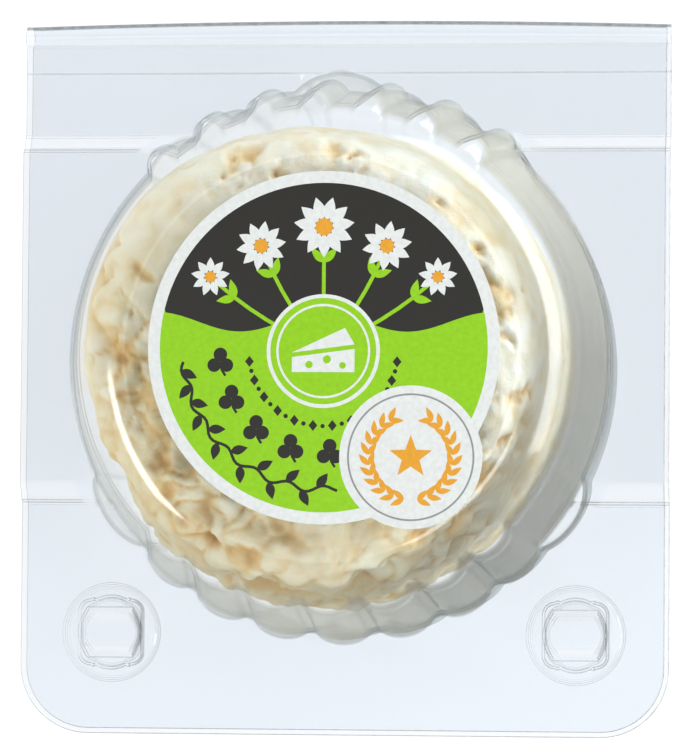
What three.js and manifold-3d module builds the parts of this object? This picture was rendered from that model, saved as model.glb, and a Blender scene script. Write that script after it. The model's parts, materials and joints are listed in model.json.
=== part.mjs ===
// A small soft goat's cheese in a clear hinged plastic pack, closed with two snap studs.
// The pack lies on its back, label up, with its hinge towards +Y. Sizes are in millimetres.

import * as THREE from "three";
import { mergeVertices } from "three/addons/utils/BufferGeometryUtils.js";
import Module from "manifold-3d";

const wasm = await Module();
wasm.setup();

// Whole pack
const PACK_WIDTH = 90;
const PACK_LENGTH = 99;
const CORNER_RADIUS = 9.5;
const CORNER_SIDES = 8;
const SHEET = 0.5; // thickness of the plastic
const GAP = 0.3; // between pieces that touch
const BACK_DEPTH = 26.6; // from the plane where the halves meet to the floor
const FRONT_DEPTH = 26; // from that plane to the front face
const BACK_INSET = 0.7; // the back's rim is a little smaller than the front's
const MEETING_Z = BACK_DEPTH;

// Folded bead that is the hinge
const BEAD_RADIUS = 1.9;
const BEAD_BOW = 0.7; // the bead sags at its two ends
const BEAD_SIDES = 7;
const BEAD_STEPS = 8; // lengths that the bowed bead is made of
const HALF_LENGTH = PACK_LENGTH / 2;
const HALF_GAP = GAP / 2;

// Raised band across the middle of both rims
const BAND_TOP = 31.3;
const BAND_TOP_SLOPE = 2.5;
const BAND_BOTTOM = -14.5;
const BAND_BOTTOM_SLOPE = 3.1;
const FRONT_BAND_RISE = 2.2;
const BACK_BAND_RISE = 2;

// The two bubbles and their lobes, with angles in degrees from +X
const BUBBLE_X = -0.5;
const BUBBLE_Y = 2;
const FRONT_FOOT_RADIUS = 37.4;
const FRONT_WALL_RADIUS = 34.2;
const FRONT_WALL_HEIGHT = 17.5;
const FRONT_RING_RADIUS = 26.9;
const FRONT_RING_STEP = 0.55;
const SHOULDER_STEPS = 4;
const BACK_MOUTH_RADIUS = 37.2;
const BACK_WALL_RADIUS = 37;
const BACK_WALL_DEPTH = 20;
const BACK_FLOOR_RADIUS = 32;
const LOBE_END = 42; // turn of the front's shoulder, in degrees, at which its lobes have rounded off
const BACK_LOBE_SHARE = 0.8; // of their full height, at the foot of the back's wall
const LOBE_SIDES = 5;
const SMOOTH_STEP = 7.5;
const LOBE_ROUNDNESS = 0.7; // 0.5 is a half-round and 1 a flat arch
const FRONT_LOBES = [
  ...lobeRow({ middle: 92.8, pitch: 12.9, count: 7, width: 7.8, atRim: 1.7, atWall: 2.2 }),
  ...lobeRow({ middle: 271.1, pitch: 13.6, count: 7, width: 11.4, atRim: 1.4, atWall: 1.2 }),
];
const BACK_LOBES = [
  ...lobeRow({ middle: 91.2, pitch: 12.9, count: 7, width: 12.4, atRim: 1.2, atWall: 1.6 }),
  ...lobeRow({ middle: 90.8, pitch: 0, count: 1, width: 21, atRim: 3, atWall: 2.5 }),
  ...lobeRow({ middle: 271.1, pitch: 13.6, count: 7, width: 12.6, atRim: 1, atWall: 1 }),
  ...lobeRow({ middle: 269.6, pitch: 111.6, count: 2, width: 18.5, atRim: 2, atWall: 1.7 }),
];

// Snap studs near the two free corners
const STUD_X = 32.2;
const STUD_Y = -35.5;
const PAD_RADIUS = 6.9;
const PAD_SIDES = 22;
const PAD_RISE = 0.4;
const STUD_SIZE = 9.3;
const STUD_CORNER = 1.8;
const STUD_SIDES = 4; // flat sides of each rounded corner or bulged edge
const STUD_RISE = 1.2;
const BARREL_LENGTH = 9.3;
const BARREL_WIDTH = 7.3;
const BARREL_RISE = 2.6;
const BARREL_SIDE_BULGE = 1.3;

// Cheese: a short cone with rounded edges, slumped towards one corner of the pack
const CHEESE_X = -2.3;
const CHEESE_Y = 1.1;
const CHEESE_SIDES = 72;
const CHEESE_BASE_RADIUS = 33.4;
const CHEESE_MIDDLE_RADIUS = 34;
const CHEESE_TOP_RADIUS = 30.9;
const CHEESE_TAPER_POWER = 3; // the side leans in mostly near its top
const CHEESE_FACE_HEIGHT = 22;
const TOP_EDGE_REACH = 7.5; // the rounding of its upper edge, inwards and downwards
const TOP_EDGE_DROP = 5;
const CHEESE_BASE_EDGE = 5;
const CHEESE_EDGE_STEPS = 3;
const CHEESE_SIDE_STEPS = 9;
const CHEESE_BASE_RINGS = [0.4, 0.75]; // as shares of the base's radius
const CHEESE_FACE_RINGS = [0.84, 0.68, 0.52, 0.36, 0.18]; // as shares of the flat face's radius
const CURD_COUNT = 230;
const CURD_SIDE_SHARE = 0.62; // of the curds, the share that lies on the side
const CURD_DEPTH = 1.5;
const CURD_SOFTNESS = 3;
const CURD_SEED = 7;
const WALL_CLEARANCE = 0.6;

// The lower left of the cheese stands back from its top, with angles in degrees from +X
const RECESS_DEPTH = 2;
const RECESS_FROM = 182;
const RECESS_STEP = 3;
const RECESS_TO = 206;
const RECESS_FADE = 14;
const RECESS_LOW = 12; // height over the meeting plane where the recess starts to run out
const RECESS_HIGH = 19;

// Its upper left is full and its lower right lean
const FULL_SIDE = 142;
const FULLNESS = 1.7;

// Label: a disc joined to a smaller one, stuck on the front face
const LABEL_X = 0;
const LABEL_Y = 2.6;
const LABEL_RADIUS = 23.6;
const LABEL_SIDES = 56;
const MEDAL_RADIUS = 9.55;
const MEDAL_SIDES = 32;
const MEDAL_X = 11.8;
const MEDAL_Y = -14.6;
const LABEL_THICKNESS = 0.3;

const CLEAR_PLASTIC = { color: 0xdfe7f0, roughness: 0.08, metalness: 0, opacity: 0.3 };
const CREAM = { color: 0xeee3cc, roughness: 0.7, metalness: 0, opacity: 1 };
const LABEL_GREEN = { color: 0x93d311, roughness: 0.45, metalness: 0, opacity: 1 };

// Lobes of one size in a row, with their heights where they meet the rim and further off
function lobeRow({ middle, pitch, count, width, atRim, atWall }) {
  const first = middle - (pitch * (count - 1)) / 2;
  return Array.from({ length: count }, (_, k) => ({ centre: first + k * pitch, width, atRim, atWall }));
}

// Height of the highest lobe at an angle
function lobeBulge(angle, lobes, where) {
  let bulge = 0;
  for (const lobe of lobes) {
    const across = (2 * (angle - lobe.centre)) / lobe.width;
    if (Math.abs(across) < 1) {
      bulge = Math.max(bulge, lobe[where] * (1 - across * across) ** LOBE_ROUNDNESS);
    }
  }
  return bulge;
}

// Angles of a ring's points: close together round each lobe, wider apart where the wall is smooth
function ringAngles(lobes) {
  const wanted = [];
  for (const lobe of lobes) {
    for (let k = 0; k <= LOBE_SIDES; k += 1) {
      wanted.push(lobe.centre - (lobe.width / 2) * Math.cos((Math.PI * k) / LOBE_SIDES));
    }
  }
  wanted.sort((a, b) => a - b);
  const angles = [];
  wanted.forEach((angle, k) => {
    const next = k + 1 < wanted.length ? wanted[k + 1] : wanted[0] + 360;
    const parts = Math.max(1, Math.ceil((next - angle) / SMOOTH_STEP));
    for (let part = 0; part < parts; part += 1) {
      angles.push(angle + ((next - angle) * part) / parts);
    }
  });
  return angles;
}

// A closed surface through a stack of rings of equal count, from the lowest to the highest
function stackOfRings(rings) {
  const count = rings[0].length;
  const points = rings.flat();
  const middleOf = (ring) => ring.reduce((sum, p) => sum.add(p), new THREE.Vector3()).divideScalar(count);
  points.push(middleOf(rings[0]), middleOf(rings[rings.length - 1]));
  const index = [];
  for (let level = 0; level + 1 < rings.length; level += 1) {
    for (let k = 0; k < count; k += 1) {
      const here = level * count + k;
      const beside = level * count + ((k + 1) % count);
      index.push(here, beside, beside + count, here, beside + count, here + count);
    }
  }
  const top = (rings.length - 1) * count;
  for (let k = 0; k < count; k += 1) {
    const beside = (k + 1) % count;
    index.push(points.length - 2, beside, k);
    index.push(points.length - 1, top + k, top + beside);
  }
  const geometry = new THREE.BufferGeometry().setFromPoints(points);
  geometry.setIndex(index);
  return geometry;
}

function solidOf(geometry) {
  const bare = geometry.clone();
  bare.deleteAttribute("normal");
  bare.deleteAttribute("uv");
  const merged = mergeVertices(bare, 1e-5);
  return new wasm.Manifold(
    new wasm.Mesh({
      numProp: 3,
      vertProperties: new Float32Array(merged.attributes.position.array),
      triVerts: new Uint32Array(merged.index.array),
    }),
  );
}

function meshOf(solid, name, look) {
  const result = solid.getMesh();
  const geometry = new THREE.BufferGeometry();
  geometry.setAttribute("position", new THREE.BufferAttribute(new Float32Array(result.vertProperties), 3));
  geometry.setIndex(new THREE.BufferAttribute(new Uint32Array(result.triVerts), 1));
  geometry.computeVertexNormals();
  const { color, roughness, metalness, opacity } = look;
  const transparent = opacity < 1;
  const material = new THREE.MeshStandardMaterial({ color, roughness, metalness, opacity, transparent });
  const mesh = new THREE.Mesh(geometry, material);
  mesh.name = name;
  return mesh;
}

function sideways(shape, steps) {
  const geometry = new THREE.ExtrudeGeometry(shape, { depth: PACK_WIDTH, steps, bevelEnabled: false });
  const lengthIsX = new THREE.Matrix4().set(0, 0, 1, 0, 1, 0, 0, 0, 0, 1, 0, 0, 0, 0, 0, 1);
  return geometry.applyMatrix4(lengthIsX).translate(-PACK_WIDTH / 2, 0, MEETING_Z);
}

// Height of a rim along the pack: flat, up onto the raised band, and down again
function rimLine(rise, offset) {
  return [
    [-HALF_LENGTH, offset],
    [BAND_BOTTOM - BAND_BOTTOM_SLOPE, offset],
    [BAND_BOTTOM, offset + rise],
    [BAND_TOP, offset + rise],
    [BAND_TOP + BAND_TOP_SLOPE, offset],
  ].map(([y, z]) => new THREE.Vector2(y, z));
}

function beadArc(radius, side, startHeight, endHeight) {
  const start = Math.PI - Math.asin(startHeight / radius);
  const end = Math.asin(endHeight / radius);
  return Array.from({ length: BEAD_SIDES + 1 }, (_, k) => {
    const angle = start + ((end - start) * k) / BEAD_SIDES;
    const y = HALF_LENGTH - BEAD_RADIUS + radius * Math.cos(angle);
    return new THREE.Vector2(y, side * radius * Math.sin(angle));
  });
}

// One half's rim and its half of the bead, side 1 for the front and -1 for the back
function rimSheet(side, rise) {
  const near = rimLine(rise, side * HALF_GAP);
  const far = rimLine(rise, side * (HALF_GAP + SHEET));
  const outer = beadArc(BEAD_RADIUS, side, HALF_GAP + SHEET, HALF_GAP);
  const inner = beadArc(BEAD_RADIUS - SHEET, side, HALF_GAP, HALF_GAP);
  const shape = new THREE.Shape([...far, ...outer, ...inner.reverse(), ...near.reverse()]);
  const geometry = sideways(shape, BEAD_STEPS);
  const position = geometry.attributes.position;
  const beadStart = HALF_LENGTH - 2 * BEAD_RADIUS;
  for (let k = 0; k < position.count; k += 1) {
    const share = Math.max(0, position.getY(k) - beadStart) / (2 * BEAD_RADIUS);
    const across = (2 * position.getX(k)) / PACK_WIDTH;
    position.setY(k, position.getY(k) - BEAD_BOW * share * across * across);
  }
  return solidOf(geometry);
}

// Everything on one side of a rim's surface, to trim a bubble where it meets the rim
function beyondRim(side, rise) {
  const line = rimLine(rise, side * HALF_GAP);
  const reach = side * 2 * FRONT_DEPTH;
  const shape = new THREE.Shape([
    ...line,
    new THREE.Vector2(HALF_LENGTH, side * HALF_GAP),
    new THREE.Vector2(HALF_LENGTH, reach),
    new THREE.Vector2(-HALF_LENGTH, reach),
  ]);
  return solidOf(sideways(shape, 1));
}

function rimOutline(inset) {
  const x = PACK_WIDTH / 2 - inset;
  const low = -HALF_LENGTH + inset;
  const high = HALF_LENGTH;
  const radius = CORNER_RADIUS - inset;
  const shape = new THREE.Shape();
  shape.moveTo(-x, high);
  shape.lineTo(-x, low + radius);
  shape.absarc(-x + radius, low + radius, radius, Math.PI, 1.5 * Math.PI, false);
  shape.lineTo(x - radius, low);
  shape.absarc(x - radius, low + radius, radius, -Math.PI / 2, 0, false);
  shape.lineTo(x, high);
  const reach = 2 * BEAD_RADIUS;
  const options = { depth: 2 * reach, bevelEnabled: false, curveSegments: CORNER_SIDES };
  return solidOf(new THREE.ExtrudeGeometry(shape, options).translate(0, 0, MEETING_Z - reach));
}

// Stations of the front bubble from its foot to its face: radius, height, share of the lobes and
// which of the lobes' heights
function frontProfile(inset) {
  const stations = [[FRONT_FOOT_RADIUS, inset > 0 ? -GAP : 0, 1, "atRim"]];
  const shoulderTop = FRONT_DEPTH - FRONT_RING_STEP;
  for (let k = 0; k <= SHOULDER_STEPS; k += 1) {
    const degrees = (90 * k) / SHOULDER_STEPS;
    const turn = THREE.MathUtils.degToRad(degrees);
    const radius = FRONT_RING_RADIUS + (FRONT_WALL_RADIUS - FRONT_RING_RADIUS) * Math.cos(turn);
    const height = FRONT_WALL_HEIGHT + (shoulderTop - FRONT_WALL_HEIGHT) * Math.sin(turn);
    const share = Math.sqrt(Math.max(0, 1 - (degrees / LOBE_END) ** 2));
    stations.push([radius, height - inset * Math.sin(turn), share, "atWall"]);
  }
  stations.push([FRONT_RING_RADIUS - FRONT_RING_STEP, FRONT_DEPTH - inset, 0, "atWall"]);
  return stations;
}

// Stations of the back bubble from its floor to its mouth
function backProfile(inset) {
  const stations = [];
  for (let k = 0; k <= SHOULDER_STEPS; k += 1) {
    const turn = (Math.PI / 2) * (k / SHOULDER_STEPS);
    const radius = BACK_FLOOR_RADIUS + (BACK_WALL_RADIUS - BACK_FLOOR_RADIUS) * Math.sin(turn);
    const depth = BACK_WALL_DEPTH + (BACK_DEPTH - BACK_WALL_DEPTH) * Math.cos(turn);
    const share = (BACK_LOBE_SHARE * k) / SHOULDER_STEPS;
    stations.push([radius, inset * Math.cos(turn) - depth, share, "atWall"]);
  }
  stations.push([BACK_MOUTH_RADIUS, inset > 0 ? BACK_BAND_RISE + GAP : BACK_BAND_RISE, 1, "atRim"]);
  return stations;
}

function bubble(profile, lobes, inset) {
  const angles = ringAngles(lobes);
  const rings = profile.map(([radius, height, share, where]) =>
    angles.map((degrees) => {
      const reach = radius - inset + share * lobeBulge(degrees, lobes, where);
      const turn = THREE.MathUtils.degToRad(degrees);
      return new THREE.Vector3(
        BUBBLE_X + reach * Math.cos(turn),
        BUBBLE_Y + reach * Math.sin(turn),
        MEETING_Z + height,
      );
    }),
  );
  return solidOf(stackOfRings(rings));
}

function studShape(inset) {
  const half = STUD_SIZE / 2 - inset;
  const corner = STUD_CORNER - inset / 2;
  const shape = new THREE.Shape();
  shape.absarc(half - corner, half - corner, corner, 0, Math.PI / 2, false);
  shape.absarc(corner - half, half - corner, corner, Math.PI / 2, Math.PI, false);
  shape.absarc(corner - half, corner - half, corner, Math.PI, 1.5 * Math.PI, false);
  shape.absarc(half - corner, corner - half, corner, -Math.PI / 2, 0, false);
  return shape;
}

function barrelShape(inset) {
  const halfWidth = BARREL_WIDTH / 2 - inset;
  const flat = BARREL_LENGTH / 2 - BARREL_SIDE_BULGE - inset;
  const shape = new THREE.Shape();
  shape.moveTo(flat, -halfWidth);
  shape.quadraticCurveTo(flat + 2 * BARREL_SIDE_BULGE, 0, flat, halfWidth);
  shape.lineTo(-flat, halfWidth);
  shape.quadraticCurveTo(-flat - 2 * BARREL_SIDE_BULGE, 0, -flat, -halfWidth);
  return shape;
}

function padShape(inset) {
  return new THREE.Shape().absarc(0, 0, PAD_RADIUS - inset, 0, 2 * Math.PI, false);
}

// The stepped block of one snap stud, to add to a rim or, smaller, to hollow it out
function studBlock(x, inset, low, drop) {
  const layers = [
    [padShape(inset), PAD_RISE, PAD_SIDES / 2],
    [studShape(inset), STUD_RISE, STUD_SIDES],
    [barrelShape(inset), BARREL_RISE, STUD_SIDES],
  ];
  return layers
    .map(([shape, rise, curveSegments]) => {
      const depth = rise + SHEET + HALF_GAP - low - drop;
      const geometry = new THREE.ExtrudeGeometry(shape, { depth, bevelEnabled: false, curveSegments });
      return solidOf(geometry.translate(x, STUD_Y, MEETING_Z + low));
    })
    .reduce((whole, layer) => whole.add(layer));
}

function frontShell() {
  let shell = rimSheet(1, FRONT_BAND_RISE).intersect(rimOutline(0));
  const dome = bubble(frontProfile(0), FRONT_LOBES, 0).intersect(beyondRim(1, FRONT_BAND_RISE));
  shell = shell.add(dome);
  for (const x of [-STUD_X, STUD_X]) {
    shell = shell.add(studBlock(x, 0, HALF_GAP, 0));
    shell = shell.subtract(studBlock(x, SHEET, -GAP, SHEET));
  }
  return shell.subtract(bubble(frontProfile(SHEET), FRONT_LOBES, SHEET));
}

function backShell() {
  const below = -(HALF_GAP + SHEET);
  const fit = SHEET + GAP;
  let shell = rimSheet(-1, BACK_BAND_RISE).intersect(rimOutline(BACK_INSET));
  const bowl = bubble(backProfile(0), BACK_LOBES, 0).intersect(beyondRim(-1, BACK_BAND_RISE));
  shell = shell.add(bowl);
  for (const x of [-STUD_X, STUD_X]) {
    shell = shell.add(studBlock(x, fit, below, fit));
    shell = shell.subtract(studBlock(x, fit + SHEET, below - GAP, fit + SHEET));
  }
  return shell.subtract(bubble(backProfile(SHEET), BACK_LOBES, SHEET));
}

// Repeatable random numbers from 0 to 1
function seeded(seed) {
  const largest = 2147483647;
  let state = seed;
  return () => {
    state = (state * 16807) % largest;
    return state / largest;
  };
}

// Middles of the curds, scattered over the cheese's side and face
function curdMiddles() {
  const random = seeded(CURD_SEED);
  const sideHeight = BACK_DEPTH + CHEESE_FACE_HEIGHT - TOP_EDGE_DROP;
  return Array.from({ length: CURD_COUNT }, () => {
    const turn = 2 * Math.PI * random();
    const share = random() / CURD_SIDE_SHARE;
    const onFace = share > 1;
    const reach = onFace ? CHEESE_TOP_RADIUS * Math.sqrt(random()) : CHEESE_MIDDLE_RADIUS;
    const height = onFace ? CHEESE_FACE_HEIGHT : share * sideHeight - BACK_DEPTH;
    return new THREE.Vector3(reach * Math.cos(turn), reach * Math.sin(turn), height);
  });
}

// How far the skin sinks at a point: nothing in the middle of a curd, most between two
function curdSink(point, middles) {
  let nearest = Infinity;
  let second = Infinity;
  for (const middle of middles) {
    const distance = point.distanceTo(middle);
    if (distance < nearest) {
      second = nearest;
      nearest = distance;
    } else if (distance < second) {
      second = distance;
    }
  }
  return CURD_DEPTH * Math.exp(-(second - nearest) / CURD_SOFTNESS);
}

// How far the recess sinks the skin at an angle and a height over the meeting plane
function recessSink(degrees, height) {
  const { smoothstep } = THREE.MathUtils;
  const start = smoothstep(degrees, RECESS_FROM, RECESS_FROM + RECESS_STEP);
  const end = smoothstep(degrees, RECESS_TO, RECESS_TO + RECESS_FADE);
  return RECESS_DEPTH * start * (1 - end) * (1 - smoothstep(height, RECESS_LOW, RECESS_HIGH));
}

// How far the skin stands out on the cheese's full side, or back on its lean one
function fullness(turn) {
  const towards = Math.cos(turn - THREE.MathUtils.degToRad(FULL_SIDE));
  return FULLNESS * towards * Math.abs(towards) ** 3;
}

// Points of a rounded edge of the cheese, round its middle from one angle to another
function edgeStations(radius, height, reach, drop, from, to) {
  return Array.from({ length: CHEESE_EDGE_STEPS + 1 }, (_, k) => {
    const turn = from + ((to - from) * k) / CHEESE_EDGE_STEPS;
    return [radius + reach * Math.cos(turn), height + drop * Math.sin(turn)];
  });
}

// Stations of the cheese from the middle of its base to the middle of its face
function cheeseProfile() {
  const base = -BACK_DEPTH + SHEET + GAP;
  const low = base + CHEESE_BASE_EDGE;
  const high = CHEESE_FACE_HEIGHT - TOP_EDGE_DROP;
  const flatBase = CHEESE_BASE_RADIUS - CHEESE_BASE_EDGE;
  const flatFace = CHEESE_TOP_RADIUS - TOP_EDGE_REACH;
  const stations = CHEESE_BASE_RINGS.map((share) => [CHEESE_BASE_RADIUS * share, base]);
  const edge = CHEESE_BASE_EDGE;
  stations.push(...edgeStations(flatBase, low, edge, edge, -Math.PI / 2, 0));
  for (let k = 1; k < CHEESE_SIDE_STEPS; k += 1) {
    const share = k / CHEESE_SIDE_STEPS;
    const upright = CHEESE_BASE_RADIUS + (CHEESE_MIDDLE_RADIUS - CHEESE_BASE_RADIUS) * share;
    const lean = (CHEESE_MIDDLE_RADIUS - CHEESE_TOP_RADIUS) * share ** CHEESE_TAPER_POWER;
    stations.push([upright - lean, low + (high - low) * share]);
  }
  stations.push(...edgeStations(flatFace, high, TOP_EDGE_REACH, TOP_EDGE_DROP, 0, Math.PI / 2));
  stations.push(...CHEESE_FACE_RINGS.map((share) => [flatFace * share, CHEESE_FACE_HEIGHT]));
  return stations;
}

// Inner radius of the bubbles between their lobes, at a height from the meeting plane
function roomAt(height) {
  const stations = [...backProfile(SHEET), ...frontProfile(SHEET).slice(1)];
  for (let k = 1; k < stations.length; k += 1) {
    const [radius, z] = stations[k];
    const [radiusBelow, zBelow] = stations[k - 1];
    if (height <= z) {
      const share = (height - zBelow) / (z - zBelow);
      return radiusBelow + (radius - radiusBelow) * Math.max(0, share) - SHEET;
    }
  }
  return FRONT_RING_RADIUS - SHEET;
}

function cheeseSolid() {
  const middles = curdMiddles();
  const stations = cheeseProfile();
  const rings = stations.map(([radius, height], level) => {
    const [beforeRadius, beforeHeight] = stations[Math.max(0, level - 1)];
    const [afterRadius, afterHeight] = stations[Math.min(stations.length - 1, level + 1)];
    const along = new THREE.Vector2(afterRadius - beforeRadius, afterHeight - beforeHeight).normalize();
    const isBase = height < -BACK_DEPTH + 2 * SHEET + GAP;
    return Array.from({ length: CHEESE_SIDES }, (_, k) => {
      const turn = (2 * Math.PI * k) / CHEESE_SIDES;
      const skin = new THREE.Vector3(radius * Math.cos(turn), radius * Math.sin(turn), height);
      const degrees = THREE.MathUtils.radToDeg(turn);
      const sink = isBase ? 0 : curdSink(skin, middles) + recessSink(degrees, height);
      const reach = radius + (isBase ? 0 : fullness(turn) * Math.max(0, along.y)) - sink * along.y;
      const x = CHEESE_X - BUBBLE_X + reach * Math.cos(turn);
      const y = CHEESE_Y - BUBBLE_Y + reach * Math.sin(turn);
      const sunken = height + sink * along.x;
      const room = roomAt(sunken) - WALL_CLEARANCE;
      const pull = Math.min(1, room / Math.hypot(x, y));
      return new THREE.Vector3(BUBBLE_X + x * pull, BUBBLE_Y + y * pull, MEETING_Z + sunken);
    });
  });
  return solidOf(stackOfRings(rings));
}

function labelSolid() {
  const low = MEETING_Z + FRONT_DEPTH + GAP;
  const disc = (x, y, radius, sides) => {
    const shape = new THREE.Shape().absarc(0, 0, radius, 0, 2 * Math.PI, false);
    const flat = { depth: LABEL_THICKNESS, bevelEnabled: false, curveSegments: sides / 2 };
    return solidOf(new THREE.ExtrudeGeometry(shape, flat).translate(LABEL_X + x, LABEL_Y + y, low));
  };
  return disc(0, 0, LABEL_RADIUS, LABEL_SIDES).add(disc(MEDAL_X, MEDAL_Y, MEDAL_RADIUS, MEDAL_SIDES));
}

const group = new THREE.Group();
group.add(meshOf(backShell(), "back_shell", CLEAR_PLASTIC));
group.add(meshOf(cheeseSolid(), "cheese", CREAM));
group.add(meshOf(frontShell(), "front_shell", CLEAR_PLASTIC));
group.add(meshOf(labelSolid(), "label", LABEL_GREEN));

export default group;
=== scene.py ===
"""A small soft goat's cheese in a clear hinged plastic pack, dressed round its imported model."""

import json
import math

import bmesh
import bpy
import numpy as np
from mathutils import Matrix, Vector, kdtree, noise
from mathutils.geometry import delaunay_2d_cdt


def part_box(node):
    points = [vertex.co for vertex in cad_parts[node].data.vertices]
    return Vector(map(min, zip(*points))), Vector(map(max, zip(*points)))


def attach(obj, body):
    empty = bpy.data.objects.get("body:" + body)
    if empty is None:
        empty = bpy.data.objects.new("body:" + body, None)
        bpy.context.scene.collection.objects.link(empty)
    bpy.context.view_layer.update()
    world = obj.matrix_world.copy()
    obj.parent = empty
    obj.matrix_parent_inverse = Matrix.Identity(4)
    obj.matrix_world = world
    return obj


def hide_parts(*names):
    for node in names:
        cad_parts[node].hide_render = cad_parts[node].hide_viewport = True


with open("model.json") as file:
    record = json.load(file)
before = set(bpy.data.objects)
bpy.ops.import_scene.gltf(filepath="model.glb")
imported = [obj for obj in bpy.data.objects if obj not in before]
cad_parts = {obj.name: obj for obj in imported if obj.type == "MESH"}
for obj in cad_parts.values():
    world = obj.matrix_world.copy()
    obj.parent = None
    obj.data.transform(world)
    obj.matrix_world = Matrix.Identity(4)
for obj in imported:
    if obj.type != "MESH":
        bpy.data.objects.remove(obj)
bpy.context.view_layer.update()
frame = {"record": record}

# Everything below is in millimetres until a mesh is written in metres
MM = 0.001
HINGE = frame["record"]["behaviour"]["joints"][0]["pos_m"]
MEETING_Z = HINGE[2] / MM  # plane where the halves meet
HALF_LENGTH = HINGE[1] / MM
HALF_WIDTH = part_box("front_shell")[1][0] / MM
LABEL_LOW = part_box("label")[0][2] / MM
LABEL_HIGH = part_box("label")[1][2] / MM

# Sheet and rim
SHEET = 0.4
SHARP_ANGLE = math.radians(14)  # bends steeper than this stay crisp
LEAST_LEAN = 0.7  # keeps the inner side near the outer one at sharp bends
WELD = 0.0005  # points nearer than this become one
HALF_GAP = 0.15
CORNER_RADIUS = 9.5
BACK_INSET = 0.7
BEAD_RADIUS = 1.9
BEAD_BOW = 0.7
BAND_TOP = 31.3
BAND_TOP_SLOPE = 2.5
BAND_BOTTOM = -14.5
BAND_BOTTOM_SLOPE = 3.1
FRONT_BAND_RISE = 2.2
BACK_BAND_RISE = 2.0
# The rim's raised band as places along Y and shares of its rise: steep little steps edge its slopes
BAND_LINE = (
    (BAND_BOTTOM - BAND_BOTTOM_SLOPE, 0.0),
    (BAND_BOTTOM - BAND_BOTTOM_SLOPE + 0.12, 0.26),
    (BAND_BOTTOM - 0.25 * BAND_BOTTOM_SLOPE, 0.88),
    (BAND_BOTTOM, 1.0),
    (BAND_TOP, 1.0),
    (BAND_TOP + 0.2, 0.74),
    (BAND_TOP + BAND_TOP_SLOPE - 0.3, 0.14),
    (BAND_TOP + BAND_TOP_SLOPE - 0.24, 0.03),
    (BAND_TOP + BAND_TOP_SLOPE + 0.1, 0.0),
)
CREASE_Y = 42.2
CREASE_REACH = 0.12
CREASE_RISE = 0.24
CUT_WIDTH = 0.13  # how far the cut edge of a sheet leans, seen from in front
# The rim isn't quite flat, except near the bubbles and at its two ends
WOBBLE = 0.1
WOBBLE_SCALE = 0.06
WOBBLE_REACH = (36.0, 39.0)
WOBBLE_FADE = 6.0

# Bubbles, with angles in degrees from +X
BUBBLE_X = -0.5
BUBBLE_Y = 2.0
FRONT_DEPTH = LABEL_LOW - MEETING_Z - 0.05
FRONT_FOOT_RADIUS = 37.4
FRONT_WALL_RADIUS = 34.2
FRONT_WALL_HEIGHT = 17.5
FRONT_RING_RADIUS = 26.9
FRONT_RING_STEP = 0.55
BACK_DEPTH = MEETING_Z
BACK_MOUTH_RADIUS = 37.2
BACK_WALL_RADIUS = 37.0
BACK_WALL_DEPTH = 20.0
BACK_FLOOR_RADIUS = 32.0
BACK_LOBE_SHARE = 0.8  # of the lobes' bulge at the lower end of the back's wall
FOOT_FILLET = 0.35
HOLD_WIDTH = 0.5  # ring of small triangles round the foot
HOLD_CLEARANCE = 0.9  # from the foot to where the rim's bend lines stop
BUBBLE_SIDES = 540
# Middle, pitch, count and width of each row of lobes, then their height at the rim and further off
FRONT_LOBE_ROWS = ((92.8, 12.9, 7, 7.8, 1.7, 2.2), (271.1, 13.6, 7, 11.4, 1.4, 1.2))
BACK_LOBE_ROWS = (
    (91.2, 12.9, 7, 12.4, 1.2, 1.6),
    (90.8, 0.0, 1, 21.0, 3.0, 2.5),
    (271.1, 13.6, 7, 12.6, 1.0, 1.0),
    (269.6, 111.6, 2, 18.5, 2.0, 1.7),
)
LOBE_END = math.radians(42)  # turn of the shoulder at which the front's lobes have rounded off
LOBE_ROUNDNESS = 0.7  # 0.5 is a half round and 1 a flat arch
LOBE_GROWTH = 0.45  # share of the wall in which the lobes reach their full bulge
LOBE_SOFTNESS = 0.2  # degrees over which the creases between lobes are rounded
LOBE_CREASE = 0.4  # degrees over which the painted dark lines along those creases fade

# Snap studs
STUD_X = 32.2
STUD_Y = -35.5
PAD_RADIUS = 6.9
PAD_RISE = 0.4
STUD_SIZE = 9.3
STUD_CORNER = 1.8
STUD_RISE = 1.2
STUD_NOTCH = 2.15  # from the stud's middle to the notches in its upper and lower edges
STUD_ARC = 0.55
SHORT_ARC_SHARE = 0.3  # bulge of the short arcs beside the long one
BARREL_LENGTH = 9.3
BARREL_WIDTH = 7.3
BARREL_RISE = 2.6
BARREL_SIDE_BULGE = 1.3
BARREL_SLOPE = 1.2  # width of the sloping upper and lower sides of the barrel
STUD_DRAFT = 0.15
BACK_STUD_INSET = 0.8  # the back's studs lie in the front's
BACK_STUD_DROP = 0.2

# Cheese
CHEESE_X = -2.3
CHEESE_Y = 1.1
CHEESE_BASE_RADIUS = 33.4
CHEESE_MIDDLE_RADIUS = 34.0
CHEESE_TOP_RADIUS = 30.9
CHEESE_TAPER_POWER = 3
CHEESE_FACE_HEIGHT = 22.0
TOP_EDGE_REACH = 7.5
TOP_EDGE_DROP = 5.0
CHEESE_BASE_EDGE = 5.0
CHEESE_SIDES = 384
CHEESE_STEP = 0.42
CHEESE_LIFT = 0.4  # from the sheet under it
FLAT_BASE = 1.2  # height over the back's floor up to which the base has no relief
CURD_COUNT = 230
CURD_SIDE_SHARE = 0.62
CURD_DEPTH = 1.3
CURD_SOFTNESS = 2.4
CURD_SEED = 7
LUMP_COUNT = 900
LUMP_DEPTH = 0.75
LUMP_SOFTNESS = 1.3
CRACK_DEPTH = 0.22
CRACK_SOFTNESS = 0.4
KNOB_DEPTH = 2.2
KNOB_SCALE = 0.22
ROUGH_DEPTH = 0.14
ROUGH_SCALE = 0.5
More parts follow.
